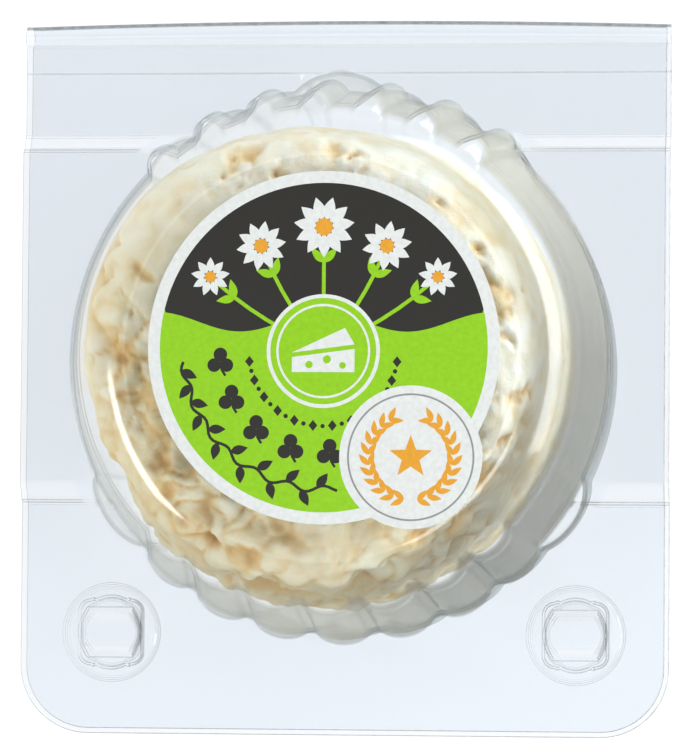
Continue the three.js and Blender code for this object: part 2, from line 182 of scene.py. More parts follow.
BROAD_DEPTH = 0.5
BROAD_SCALE = 0.06
PATCH_SCALE = 0.12
WARP = 1.9  # how far the outlines of curds and lumps are bent
WARP_SCALE = 0.25
WARP_SEED = 3
CRUMBLY_SIDE = (-0.35, -0.94)  # direction of the crumbliest part of the edge
WARM_SIDE = (-0.75, -0.66)
RECESS_DEPTH = 2.0
RECESS_FROM = 182.0
RECESS_STEP = 3.0
RECESS_TO = 206.0
RECESS_FADE = 14.0
RECESS_LOW = 12.0
RECESS_HIGH = 19.0
FULL_SIDE = math.radians(142)  # the upper left of the cheese is full and its lower right lean
FULLNESS = 1.7
PIT_COUNT = 170
PIT_SPACING = 3.5
PIT_LEAST_RADIUS = 0.6
PIT_MORE_RADIUS = 1.4
PIT_DEPTH_SHARE = 0.75
PIT_RAGGEDNESS = 1.7
RAGGED_SCALE = 0.45
FINE_RAGGED_SCALE = 1.3
WALL_CLEARANCE = 0.6
# Pits that the label leaves in view, as x, y, radius and depth
SEEN_PITS = (
    (-27.6, 0.9, 2.4, 1.5),
    (-28.2, 8.4, 1.1, 1.1),
    (-24.6, 12.0, 1.9, 0.9),
    (-28.4, 16.4, 1.5, 0.8),
    (-11.0, 28.6, 2.2, 1.4),
    (-13.2, 26.4, 1.5, 1.2),
    (0.8, 29.6, 1.9, 1.1),
    (4.2, 28.0, 1.5, 1.0),
    (21.8, 10.6, 2.6, 1.2),
    (23.2, 7.6, 1.5, 0.9),
    (21.4, -3.4, 1.9, 0.9),
    (27.2, -3.6, 1.2, 1.1),
    (22.4, -15.2, 2.6, 1.2),
    (25.0, -9.0, 1.2, 1.1),
    (13.8, -23.4, 2.4, 1.4),
    (-4.6, -22.0, 3.2, 0.9),
    (7.6, -29.4, 1.2, 1.1),
    (-11.6, -25.4, 2.1, 1.3),
    (-17.4, -24.2, 2.4, 1.7),
    (-19.0, -21.6, 1.6, 1.1),
    (-20.6, -17.6, 1.8, 1.1),
)

# Label
LABEL_X = 0.0
LABEL_Y = 2.6
LABEL_RADIUS = 23.6
PRINT_RADIUS = 22.0
MEDAL_RADIUS = 9.55
MEDAL_X = 11.8
MEDAL_Y = -14.6
BADGE_Y = -0.5
FILM = 0.2
HILL_Y = 3.4
HILL_RISE = 1.3
CHAIN_REACH = 10.0
CLOVER_REACH = (13.9, 13.6)
VINE_REACH = 18.9
WREATH_REACH = 5.7
WHITE, CHARCOAL, GREEN, GOLD, GREY = range(5)
# Inks in that order
INKS = (
    ("white_film", (0.66, 0.69, 0.67)),
    ("charcoal_ink", (0.013, 0.012, 0.009)),
    ("green_ink", (0.24, 0.53, 0.001)),
    ("gold_ink", (0.68, 0.31, 0.018)),
    ("grey_ink", (0.25, 0.25, 0.25)),
)
# Direction, reach, size and petals of each daisy
BOUQUET = (
    (90, 16.6, 3.9, 11),
    (59, 16.4, 3.2, 10),
    (121, 16.4, 3.2, 10),
    (33, 18.2, 2.5, 9),
    (147, 18.2, 2.5, 9),
)

# Tints of the light that comes through the sheet: its own faint blue, a painted highlight on the rim's
# slopes, and painted shade on steep faces
SHEET_TINT = (0.950, 0.966, 0.983)
# Painted highlight on the rim's slopes, lighter than the flat sheet
SLOPE_HIGHLIGHT = (0.962, 0.974, 0.987)
# Painted shade: dark lines on the steep faces of the rim's steps and studs, and of the bead
FRONT_STEP_SHADE = (0.63, 0.64, 0.645)
BACK_STEP_SHADE = (0.84, 0.85, 0.855)
STEP_REACH = 40.5  # steep faces further than this from the bubbles' middle are the rim's and studs'
BEAD_SHADE = (0.87, 0.88, 0.88)
BEAD_FROM = 44.5
# Side of the pack towards which the walls' painted shade deepens
DIM_SIDE = (0.912, -0.41)
# Painted shade on the walls, from the side away from DIM_SIDE round to it, as place, tint and share of
# grey haze; both deepen towards the dim side
FRONT_WALL_SHADES = (
    (0.05, (0.985, 0.99, 0.99), 0.02),
    (0.3, (0.94, 0.945, 0.94), 0.06),
    (0.68, (0.865, 0.86, 0.805), 0.22),
    (0.96, (0.56, 0.56, 0.54), 0.12),
)
BACK_WALL_SHADES = (
    (0.05, (0.985, 0.985, 0.985), 0.02),
    (0.3, (0.94, 0.945, 0.945), 0.04),
    (0.68, (0.92, 0.925, 0.915), 0.14),
    (0.96, (0.80, 0.81, 0.80), 0.1),
)
# Upward share of a face's direction, from where it starts to count as steep or sloped to where it does
STEEP_FROM_TO = (0.52, 0.34)
SLOPED_FROM_TO = (0.98, 0.88)
EDGE_ON_TINTS = ((0.935, (1, 1, 1)), (0.972, (0.76, 0.76, 0.76)), (1.0, (0.3, 0.3, 0.3)))
# Grey haze painted on the walls as shade
SHADE_HAZE_COLOUR = (0.54, 0.54, 0.48)
SHEEN = {"Color": (0.84, 0.86, 0.86), "Roughness": 0.11}
SHEEN_HEAD_ON = 0.045
SHEEN_EDGE_ON = 0.3  # what is added to it where the sheet is seen edge on
# Painted shade along the creases beside the lobes and round the bubbles' foot
PAINTED_CREASE_SHADE = (0.78, 0.79, 0.78)
LOBE_CREASE_SHADE = 0.38  # how dark the painted shade in the creases beside lobes is, against that in the one round the bubble's foot
RING_SCALE = 300.0  # faint darker level rings round the walls, part of the painted shade on their dim side
RING_SHADE = 0.93

CURD_SURFACE = {
    "Base Color": (0.85, 0.79, 0.63),
    "Roughness": 0.5,
    "Specular IOR Level": 0.4,
    "Subsurface Weight": 0.3,
    "Subsurface Radius": (1.0, 0.62, 0.35),
    "Subsurface Scale": 0.0015,
}
# Curd from clean to stained, and what its warm side is multiplied by
STAINS = (
    (0.0, (0.97, 0.94, 0.83)),
    (0.14, (0.93, 0.87, 0.70)),
    (0.34, (0.88, 0.71, 0.42)),
    (0.62, (0.80, 0.54, 0.23)),
    (1.0, (0.66, 0.40, 0.15)),
)
WARM_TINT = (0.945, 0.845, 0.62)

# Camera and lights, in metres
CAMERA_DISTANCE = 0.713
CAMERA_RIGHT = math.radians(6.33)
CAMERA_DOWN = math.radians(2.9)
CAMERA_LENS = 246.7
CAMERA_AIM = (0.00006, 0.00013, MEETING_Z * MM)
CAMERA_ROLL = math.radians(0.45)
LIGHTS_AIM = (0, 0, 0.04)
CARDS = ((-12, 1.0), (13, 1.25), (38, 1.15), (63, 0.6))  # direction in degrees and watts
CARD_REACH = 0.52
CARD_HEIGHT = 0.15
FLOOR_REACH = 2.0
FLOOR_SURFACE = {
    "Base Color": (0.2, 0.2, 0.2),
    "Roughness": 0.9,
    "Emission Color": (1, 1, 1),
    "Emission Strength": 0.83,
}
# Light from the surroundings at shares of the way up
SURROUNDINGS = (
    (0.0, (0.72, 0.73, 0.74)),
    (0.25, (0.97, 0.98, 0.99)),
    (0.7, (0.90, 0.91, 0.92)),
    (0.95, (0.15, 0.15, 0.16)),
)


def new_object(name, points, faces, materials, smooth=True, indices=None):
    """An object in the scene from points in millimetres."""
    mesh = bpy.data.meshes.new(name)
    mesh.from_pydata([tuple(p) for p in np.array(points) * MM], [], faces)
    for material in materials:
        mesh.materials.append(material)
    if indices is not None:
        mesh.polygons.foreach_set("material_index", indices)
    mesh.polygons.foreach_set("use_smooth", [smooth] * len(mesh.polygons))
    mesh.update()
    piece = bpy.data.objects.new(name, mesh)
    bpy.context.scene.collection.objects.link(piece)
    return piece


def store(piece, name, values):
    """One number for each point, which the piece's material reads."""
    layer = piece.data.attributes.new(name, "FLOAT", "POINT")
    layer.data.foreach_set("value", values)


def ring_quads(first, count, flipped=False):
    """Faces between the ring of points that starts at first and the next ring."""
    quads = []
    for k in range(count):
        beside = (k + 1) % count
        quad = (first + k, first + beside, first + count + beside, first + count + k)
        quads.append((quad[0], quad[3], quad[2], quad[1]) if flipped else quad)
    return quads


def add_loop(points, edges, outline):
    """Adds the points of a closed outline, and the edges between them."""
    first = len(points)
    count = len(outline)
    points.extend(outline)
    edges.extend((first + k, first + (k + 1) % count) for k in range(count))


def polar(reach, degrees, x=0.0, y=0.0):
    """The point at a distance and a direction from x, y."""
    turn = math.radians(degrees)
    return x + reach * math.cos(turn), y + reach * math.sin(turn)


def disc(x, y, radius, count=64):
    turns = np.linspace(0, 2 * math.pi, count, endpoint=False)
    return [(x + radius * math.cos(a), y + radius * math.sin(a)) for a in turns]


def between(low, high, value):
    """Smooth rise from 0 at low to 1 at high."""
    t = np.clip((value - low) / (high - low), 0, 1)
    return t * t * (3 - 2 * t)


def noise_at(spots, scale, offset=(0, 0, 0)):
    shift = Vector(offset)
    return np.array([noise.noise(p * scale + shift) for p in spots])


# Materials


def new_material(name):
    material = bpy.data.materials.new(name)
    material.use_nodes = True
    tree = material.node_tree
    tree.nodes.clear()
    return material, tree


def add_node(tree, kind, inputs, **settings):
    """A node whose inputs are linked to sockets or set to numbers, vectors and colours."""
    node = tree.nodes.new(kind)
    for key, value in settings.items():
        setattr(node, key, value)
    for key, value in inputs.items():
        socket = node.inputs[key]
        if isinstance(value, bpy.types.NodeSocket):
            tree.links.new(value, socket)
        else:
            socket.default_value = (*value, 1) if socket.type == "RGBA" else value
    return node


def show(tree, shader):
    """Makes the shader the material's surface."""
    add_node(tree, "ShaderNodeOutputMaterial", {"Surface": shader.outputs[0]})


def principled(tree, inputs):
    shader = add_node(tree, "ShaderNodeBsdfPrincipled", inputs)
    show(tree, shader)
    return shader


def object_noise(tree, scale, detail, roughness):
    place = add_node(tree, "ShaderNodeTexCoord", {}).outputs["Object"]
    inputs = {"Vector": place, "Scale": scale, "Detail": detail, "Roughness": roughness}
    return add_node(tree, "ShaderNodeTexNoise", inputs).outputs["Fac"]


def attribute(tree, name):
    return add_node(tree, "ShaderNodeAttribute", {}, attribute_name=name).outputs["Fac"]


def split(tree, vector):
    """The outputs X, Y and Z of a vector socket."""
    return add_node(tree, "ShaderNodeSeparateXYZ", {0: vector}).outputs


def add_bump(tree, shader, source, strength, distance):
    inputs = {"Strength": strength, "Distance": distance, "Height": source}
    bump = add_node(tree, "ShaderNodeBump", inputs)
    tree.links.new(bump.outputs["Normal"], shader.inputs["Normal"])


def maths(tree, operation, *values):
    """One operation on sockets and numbers."""
    return add_node(tree, "ShaderNodeMath", dict(enumerate(values)), operation=operation).outputs[0]


def vector_maths(tree, operation, *values):
    """One operation on vectors, which are sockets or constant."""
    node = add_node(tree, "ShaderNodeVectorMath", dict(enumerate(values)), operation=operation)
    return node.outputs["Value" if operation in ("LENGTH", "DOT_PRODUCT") else "Vector"]


def rising(tree, source, low, high):
    """0 at low and 1 at high, straight between them and level beyond."""
    inputs = {"Value": source, "From Min": low, "From Max": high}
    return add_node(tree, "ShaderNodeMapRange", inputs).outputs[0]


def mixed(tree, blend, share, first, second):
    """Two colours mixed."""
    inputs = {"Fac": share, "Color1": first, "Color2": second}
    return add_node(tree, "ShaderNodeMixRGB", inputs, blend_type=blend).outputs[0]


def ramp(tree, source, stops):
    node = add_node(tree, "ShaderNodeValToRGB", {"Fac": source})
    elements = node.color_ramp.elements
    while len(elements) < len(stops):
        elements.new(0.5)
    for element, (place, colour) in zip(elements, stops):
        element.position = place
        element.color = (*colour, 1)
    return node.outputs["Color"]


def blended(tree, share, first, second):
    """Two shaders mixed."""
    inputs = {0: share, 1: first.outputs[0], 2: second.outputs[0]}
    return add_node(tree, "ShaderNodeMixShader", inputs)


def ringed(tree, height, side, side_shades):
    """The walls' painted shade, with faint darker level rings that are strongest on the dim side."""
    inputs = {"W": height, "Scale": RING_SCALE}
    rings = add_node(tree, "ShaderNodeTexNoise", inputs, noise_dimensions="1D").outputs["Fac"]
    ring_shades = ramp(tree, rings, ((0.38, (RING_SHADE,) * 3), (0.54, (1, 1, 1))))
    return mixed(tree, "MULTIPLY", side, side_shades, ring_shades)


def clear_plastic(name, walls, step_shade):
    """Thin clear sheet, faintly blue, with painted light: painted shade on its walls that deepens
    towards the dim side, painted dark lines on steep steps and creases, and a faint painted highlight on
    the rim's slopes.
    """
    material, tree = new_material(name)
    place = add_node(tree, "ShaderNodeTexCoord", {}).outputs
    slope = maths(tree, "ABSOLUTE", split(tree, place["Normal"])["Z"])
    is_wall = rising(tree, slope, *STEEP_FROM_TO)
    is_sloped = rising(tree, slope, *SLOPED_FROM_TO)
    centred = vector_maths(tree, "SUBTRACT", place["Object"], (BUBBLE_X * MM, BUBBLE_Y * MM, 0))
    level = vector_maths(tree, "MULTIPLY", centred, (1, 1, 0))
    reach = vector_maths(tree, "LENGTH", level)
    is_step = rising(tree, reach, STEP_REACH * MM, (STEP_REACH + 0.5) * MM)
    outward = vector_maths(tree, "NORMALIZE", level)
    towards = vector_maths(tree, "DOT_PRODUCT", outward, (*DIM_SIDE, 0))
    side = rising(tree, towards, -1.0, 1.0)
    # Painted shade on the walls, darker and hazier towards the dim side
    side_shades = ramp(tree, side, [(at, tint) for at, tint, _ in walls])
    shade_hazes = ramp(tree, side, [(at, (shade_haze,) * 3) for at, _, shade_haze in walls])
    spot = split(tree, place["Object"])
    is_bead = rising(tree, spot["Y"], BEAD_FROM * MM, (BEAD_FROM + 0.5) * MM)
    # Painted shade on steep faces out on the rim, its studs and the bead
    step_and_bead_shade = mixed(tree, "MIX", is_bead, step_shade, BEAD_SHADE)
    wall_shade = mixed(tree, "MIX", is_step, ringed(tree, spot["Z"], side, side_shades), step_and_bead_shade)
    on_band = maths(tree, "MULTIPLY", is_sloped, is_step)
    # Painted highlight on the rim's slopes
    sloped_highlight = mixed(tree, "MIX", is_bead, SLOPE_HIGHLIGHT, SHEET_TINT)
    flat_tint_and_highlight = mixed(tree, "MIX", on_band, SHEET_TINT, sloped_highlight)
    tint = mixed(tree, "MIX", is_wall, flat_tint_and_highlight, wall_shade)
    edge_on = add_node(tree, "ShaderNodeLayerWeight", {"Blend": 0.5}).outputs["Facing"]
    tint = mixed(tree, "MULTIPLY", 1.0, tint, ramp(tree, edge_on, EDGE_ON_TINTS))
    # Painted shade along the creases, as stored on the points
    crease_shade = mixed(tree, "MIX", attribute(tree, "crease"), (1, 1, 1), PAINTED_CREASE_SHADE)
    tint = mixed(tree, "MULTIPLY", 1.0, tint, crease_shade)
    through = add_node(tree, "ShaderNodeBsdfTransparent", {"Color": tint})
    shade_haze = add_node(tree, "ShaderNodeBsdfDiffuse", {"Color": SHADE_HAZE_COLOUR})
    in_bubble = maths(tree, "MAXIMUM", maths(tree, "SUBTRACT", is_wall, is_step), 0.0)
    body = blended(tree, maths(tree, "MULTIPLY", shade_hazes, in_bubble), through, shade_haze)
    steep = maths(tree, "POWER", edge_on, 5.0)
    share = maths(tree, "MULTIPLY_ADD", steep, SHEEN_EDGE_ON, SHEEN_HEAD_ON)
    show(tree, blended(tree, share, body, add_node(tree, "ShaderNodeBsdfGlossy", SHEEN)))
    return material


def cut_edge():
    """The sawn-looking, half clear grey of a cut plastic edge, partly its own frosting and partly
    painted shade for the dark line that such an edge shows.
    """
    material, tree = new_material("cut_edge")
    streaks = object_noise(tree, 900.0, 3.0, 0.6)
    greys = ramp(tree, streaks, ((0.3, (0.26, 0.27, 0.28)), (0.7, (0.52, 0.53, 0.54))))
    body = add_node(tree, "ShaderNodeBsdfDiffuse", {"Color": greys})
    through = add_node(tree, "ShaderNodeBsdfTransparent", {"Color": (0.6, 0.62, 0.63)})
    show(tree, blended(tree, 0.45, body, through))
    return material


def curd():
    """Moist curd: cream to tan from side to side, and orange-brown in the pits and cracks."""
    material, tree = new_material("curd")
    shader = principled(tree, CURD_SURFACE)
    patches = maths(tree, "MULTIPLY_ADD", object_noise(tree, 130.0, 5.0, 0.65), 0.7, -0.3)
    stains = ramp(tree, maths(tree, "ADD", patches, attribute(tree, "stain")), STAINS)
    warm = mixed(tree, "MIX", attribute(tree, "warmth"), (1, 1, 1), WARM_TINT)
    tree.links.new(mixed(tree, "MULTIPLY", 1.0, stains, warm), shader.inputs["Base Color"])
    add_bump(tree, shader, object_noise(tree, 700.0, 5.0, 0.65), 0.35, 0.0006)
    return material


def ink(name, colour):
    """Printed film: one ink with a faint mottle in its colour and its surface."""
    material, tree = new_material(name)
    shader = principled(tree, {"Base Color": colour, "Roughness": 0.42})
    mottle = object_noise(tree, 1500.0, 3.0, 0.5)
    darker = tuple(0.93 * c for c in colour)
    lighter = tuple(min(1.0, 1.05 * c) for c in colour)
    tree.links.new(ramp(tree, mottle, ((0.3, darker), (0.7, lighter))), shader.inputs["Base Color"])
    add_bump(tree, shader, mottle, 0.04, 0.0002)
    return material


def thickened(name, points, faces, side, materials, creases):
    """A closed sheet whose given side is its outer one, as even in thickness as its bends allow.

    Its cut edge leans, so that it shows from in front, and takes the second material.
    """
    sheet = bmesh.new()
    layer = sheet.verts.layers.float.new("crease")
    corners = [sheet.verts.new(tuple(p)) for p in points]
    # Each point carries its share of painted crease shade
    for corner, crease in zip(corners, creases):
        corner[layer] = crease
    for face in faces:
        sheet.faces.new([corners[k] for k in face])
    bmesh.ops.remove_doubles(sheet, verts=sheet.verts[:], dist=WELD)
    bmesh.ops.dissolve_degenerate(sheet, edges=sheet.edges[:], dist=WELD)
    loose = [v for v in sheet.verts if not v.link_faces]
    bmesh.ops.delete(sheet, geom=loose, context="VERTS")
    sheet.normal_update()
    sheet.verts.index_update()
    outer = [v.co.copy() for v in sheet.verts]
    kept_crease_shades = [v[layer] for v in sheet.verts]
    inner = []
    for vert in sheet.verts:
        lean = np.mean([max(0.0, face.normal.dot(vert.normal)) for face in vert.link_faces])
        inner.append(vert.co - vert.normal * SHEET / max(lean, LEAST_LEAN))
    count = len(outer)
    walls = [[v.index for v in face.verts] for face in sheet.faces]
    walls += [[count + k for k in reversed(wall)] for wall in walls]
    edge_start = len(walls)
    facing_camera = outer if side > 0 else inner
    for edge in sheet.edges:
        if len(edge.link_loops) == 1:
            loop = edge.link_loops[0]
            here = loop.vert.index
            ahead = loop.link_loop_next.vert.index
            walls.append([ahead, here, count + here, count + ahead])
            run = outer[ahead] - outer[here]
            inward = Vector((-run.y, run.x, 0)).normalized() * side
            for k in (here, ahead):
                facing_camera[k] = facing_camera[k] + 0.5 * CUT_WIDTH * inward
    sheet.free()
    indices = [0] * edge_start + [1] * (len(walls) - edge_start)
    piece = new_object(name, outer + inner, walls, materials, indices=indices)
    piece.data.set_sharp_from_angle(angle=SHARP_ANGLE)
    # The painted crease shade, for the material, on both sides of the sheet
    store(piece, "crease", 2 * kept_crease_shades)
    return piece


# Rim, bead and bubbles


def rim_height(y, rise, side):
    """Height of a half's outer face above the meeting plane; the bead curls over at the hinge."""
    y = np.asarray(y, dtype=float)
    flat = HALF_GAP + SHEET
    middle = HALF_LENGTH - BEAD_RADIUS
    arch = np.sqrt(np.maximum(BEAD_RADIUS**2 - (y - middle) ** 2, HALF_GAP**2))
    on_bead = y > middle - math.sqrt(BEAD_RADIUS**2 - flat**2)
    height = np.where(on_bead, arch, flat)
    crease = CREASE_RISE * np.maximum(0, 1 - np.abs(y - CREASE_Y) / CREASE_REACH)
    return side * height + rise * np.interp(y, *zip(*BAND_LINE)) + crease


def bowed(x, y):
    """The bead sags towards the two ends of the hinge."""
    share = np.maximum(0, y - (HALF_LENGTH - 2 * BEAD_RADIUS)) / (2 * BEAD_RADIUS)
    return y - BEAD_BOW * share * (x / HALF_WIDTH) ** 2


def from_lobes(row, degrees):
    """How far the given angles are from the middle of each lobe of a row."""
    middle, pitch, count = row[:3]
    for k in range(count):
        yield degrees - middle - (k - (count - 1) / 2) * pitch


def lobe_curves(rows):
    """Bulge of rounded lobes at any angle, at the rim and further off, with softened creases."""
    fine = np.arange(0, 360, 0.1)
    reach = np.arange(-30, 31) * 0.1
    weights = np.exp(-0.5 * (reach / LOBE_SOFTNESS) ** 2)
    weights /= weights.sum()
    curves = []
    for which in (4, 5):
        bulge = np.zeros_like(fine)
        for row in rows:
            for away in from_lobes(row, fine):
                arch = np.clip(1 - (2 * away / row[3]) ** 2, 0, None) ** LOBE_ROUNDNESS
                bulge = np.maximum(bulge, row[which] * arch)
        wrapped = np.concatenate((bulge[-30:], bulge, bulge[:30]))
        curves.append(np.convolve(wrapped, weights, mode="valid"))
    return lambda degrees: [np.interp(np.mod(degrees, 360), fine, curve, period=360) for curve in curves]


def lobe_creases(rows, degrees):
    """1 at the angles where a lobe starts or ends, and 0 away from them."""
    marks = np.zeros_like(degrees)
    for row in rows:
        for away in from_lobes(row, degrees):
            away = np.abs((away + 180) % 360 - 180)
            marks = np.maximum(marks, np.exp(-(((away - row[3] / 2) / LOBE_CREASE) ** 2)))
    return marks


def front_profile():
    """Radius, height and share of the lobes, from the middle of the face to the foot."""
    rows = [(r, FRONT_DEPTH, 0.0) for r in (0.0, 9.0, 18.0, 24.0, 26.0)]
    shoulder_top = FRONT_DEPTH - FRONT_RING_STEP
    for t in np.linspace(0, 1, 6):
        drop = FRONT_RING_STEP * (3 * t * t - 2 * t**3)
        rows.append((FRONT_RING_RADIUS - 0.6 + 0.6 * t, FRONT_DEPTH - drop, 0.0))
    for turn in np.linspace(math.pi / 2, 0, 31)[1:]:
        radius = FRONT_RING_RADIUS + (FRONT_WALL_RADIUS - FRONT_RING_RADIUS) * math.cos(turn)
        height = FRONT_WALL_HEIGHT + (shoulder_top - FRONT_WALL_HEIGHT) * math.sin(turn)
        share = math.sqrt(max(0.0, 1 - (turn / LOBE_END) ** 2))
        rows.append((radius, height, share))
    return rows


def back_profile():
    rows = [(r, -BACK_DEPTH, 0.0) for r in (0.0, 10.0, 20.0, 28.0, 31.0)]
    for turn in np.linspace(0, math.pi / 2, 16):
        radius = BACK_FLOOR_RADIUS + (BACK_WALL_RADIUS - BACK_FLOOR_RADIUS) * math.sin(turn)
        height = -BACK_WALL_DEPTH - (BACK_DEPTH - BACK_WALL_DEPTH) * math.cos(turn)
        rows.append((radius, height, BACK_LOBE_SHARE * turn / (math.pi / 2)))
    return rows


def shell_surface(side, rise, profile, foot_radius, lobes):
    """Rings of points of one bubble, from its middle out to where it meets the rim."""
    degrees = np.arange(BUBBLE_SIDES) * 360 / BUBBLE_SIDES
    turn = np.radians(degrees)
    near, far = lobe_curves(lobes)(degrees)
    last_radius, last_height, last_share = profile[-1]
    rings = []
    creases = []
    # Painted shade along the creases beside the lobes
    marks = LOBE_CREASE_SHADE * lobe_creases(lobes, degrees)

    def ring(radius, height, crease):
        radius = np.broadcast_to(radius, turn.shape)
        height = np.broadcast_to(height, turn.shape)
        x = BUBBLE_X + radius * np.cos(turn)
        y = BUBBLE_Y + radius * np.sin(turn)
        rings.append(np.stack((x, y, height), 1))
        creases.append(np.broadcast_to(crease, turn.shape))

    for radius, height, share in profile[1:]:
        ring(radius + share * far, height, marks * share)
    foot = foot_radius + near
    foot_level = rim_height(BUBBLE_Y + foot * np.sin(turn), rise, side)
    fillet_top = foot_level + side * FOOT_FILLET
    for t in np.linspace(0, 1, 15)[1:]:
        share = last_share + (1 - last_share) * min(1.0, t / LOBE_GROWTH)
        bulge = share * (far + (near - far) * t)
        radius = last_radius + (foot_radius - last_radius) * t + bulge
        ring(radius, last_height + (fillet_top - last_height) * t, marks)
    # The foot's fillet, whose painted crease shade is darkest half way round it
    for turn_in in np.linspace(0, math.pi / 2, 8)[1:]:
        radius = foot + FOOT_FILLET * (1 - math.cos(turn_in))
        ring(radius, fillet_top - side * FOOT_FILLET * math.sin(turn_in), math.sin(2 * turn_in))
    foot_y = rings[-1][:, 1]
    rings[-1][:, 2] = rim_height(foot_y, rise, side)
    centre = np.array((BUBBLE_X, BUBBLE_Y, profile[0][1]))
    return centre, rings, creases


def bend_lines():
    """The lengthwise places where the rim bends, and the crest of the bead."""
    lines = [place for place, _ in BAND_LINE]
    lines += [CREASE_Y - CREASE_REACH, CREASE_Y, CREASE_Y + CREASE_REACH]
    middle = HALF_LENGTH - BEAD_RADIUS
    first = math.acos(-math.sqrt(BEAD_RADIUS**2 - (HALF_GAP + SHEET) ** 2) / BEAD_RADIUS)
    last = math.asin(HALF_GAP / BEAD_RADIUS)
    arch = [middle + BEAD_RADIUS * math.cos(a) for a in np.linspace(first, last, 14)]
    lines += arch[:-1]
    return lines, arch[-1]


def rim_outline(inset, lines, crest):
    """Corner points of the rim, anticlockwise, with one at each end of every bend line."""
    x = HALF_WIDTH - inset
    low = -HALF_LENGTH + inset
    radius = CORNER_RADIUS - inset
    right = [(x, y) for y in sorted(lines)]
    left = [(-x, y) for y in sorted(lines, reverse=True)]
    corners = []
    for centre_x, start in ((x - radius, -90), (-x + radius, 180)):
        for k in range(17):
            corners.append(polar(radius, start + 90 * k / 16, centre_x, low + radius))
    across = np.linspace(x, -x, 61)
    top = [(a, crest) for a in across]
    return corners[:17] + right + top + left + corners[17:]


def stud_arc(x):
    """How far the stud's upper and lower edges bulge: one long arc between two short ones."""
    if abs(x) < STUD_NOTCH:
        return STUD_ARC * (1 - (x / STUD_NOTCH) ** 2)
    half_short = (STUD_SIZE / 2 - STUD_CORNER - STUD_NOTCH) / 2
    across = (abs(x) - STUD_NOTCH - half_short) / half_short
    return SHORT_ARC_SHARE * STUD_ARC * max(0.0, 1 - across**2)


def stud_outline(half):
    """Rounded square whose upper and lower edges bulge in arcs."""
    straight = half - STUD_CORNER
    points = []
    for quarter in range(4):
        sx = 1 if quarter in (0, 3) else -1
        sy = 1 if quarter in (0, 1) else -1
        for k in range(9):
            degrees = 90 * quarter + 90 * k / 8
            points.append(polar(STUD_CORNER, degrees, sx * straight, sy * straight))
        if quarter in (0, 2):
            for k in range(1, 30):
                px = sx * straight * (1 - k / 15)
                points.append((px, sy * (half + stud_arc(px))))
    return points


def barrel_outline(shrink, narrowed):
    """Upright barrel seen end on: straight above and below, bulging at its left and right."""
    half_width = BARREL_WIDTH / 2 - shrink - narrowed
    flat = BARREL_LENGTH / 2 - BARREL_SIDE_BULGE - shrink
    full = BARREL_WIDTH / 2 - shrink
    points = []
    for sx in (1, -1):
        for k in range(17):
            y = sx * half_width * (k / 8 - 1)
            points.append((sx * (flat + BARREL_SIDE_BULGE * (1 - (y / full) ** 2)), y))
    return points


def stud_rings(x, inset, base_height, rises):
    """Closed outlines of one snap stud with their heights, from the pad in to the barrel's top."""
    pad_rise, stud_rise, barrel_rise = rises
    half = STUD_SIZE / 2 - inset
    pad = ((0.2, 0.0), (0.0, 0.0), (-0.1, 0.6), (-0.55, 0.6), (-0.7, 1.0))
    levels = [(disc(0, 0, PAD_RADIUS - inset + wider, 96), share * pad_rise) for wider, share in pad]
    levels += [
        (stud_outline(half + 0.08), pad_rise),
        (stud_outline(half), pad_rise),
        (stud_outline(half - STUD_DRAFT), stud_rise),
        (barrel_outline(inset + STUD_DRAFT, -0.06), stud_rise),
        (barrel_outline(inset + 1.6 * STUD_DRAFT, 0.04), stud_rise + 0.3 * (barrel_rise - stud_rise)),
        (barrel_outline(inset + 2.4 * STUD_DRAFT, BARREL_SLOPE), barrel_rise),
    ]
    return [
        ([(x + px, STUD_Y + py) for px, py in outline], base_height + rise)
        for outline, rise in levels
    ]


def from_bubble(x, y):
    """Angle and distance of points from the bubbles' middle."""
    return np.arctan2(y - BUBBLE_Y, x - BUBBLE_X), np.hypot(x - BUBBLE_X, y - BUBBLE_Y)


def outside_foot(x, y, foot_points, margin):
    """True where a point is at least margin outside the bubble's foot."""
    angle, radius = from_bubble(foot_points[:, 0], foot_points[:, 1])
    order = np.argsort(angle)
    wanted, reach = from_bubble(x, y)
    limit = np.interp(wanted, angle[order], radius[order], period=2 * math.pi)
    return reach > limit + margin


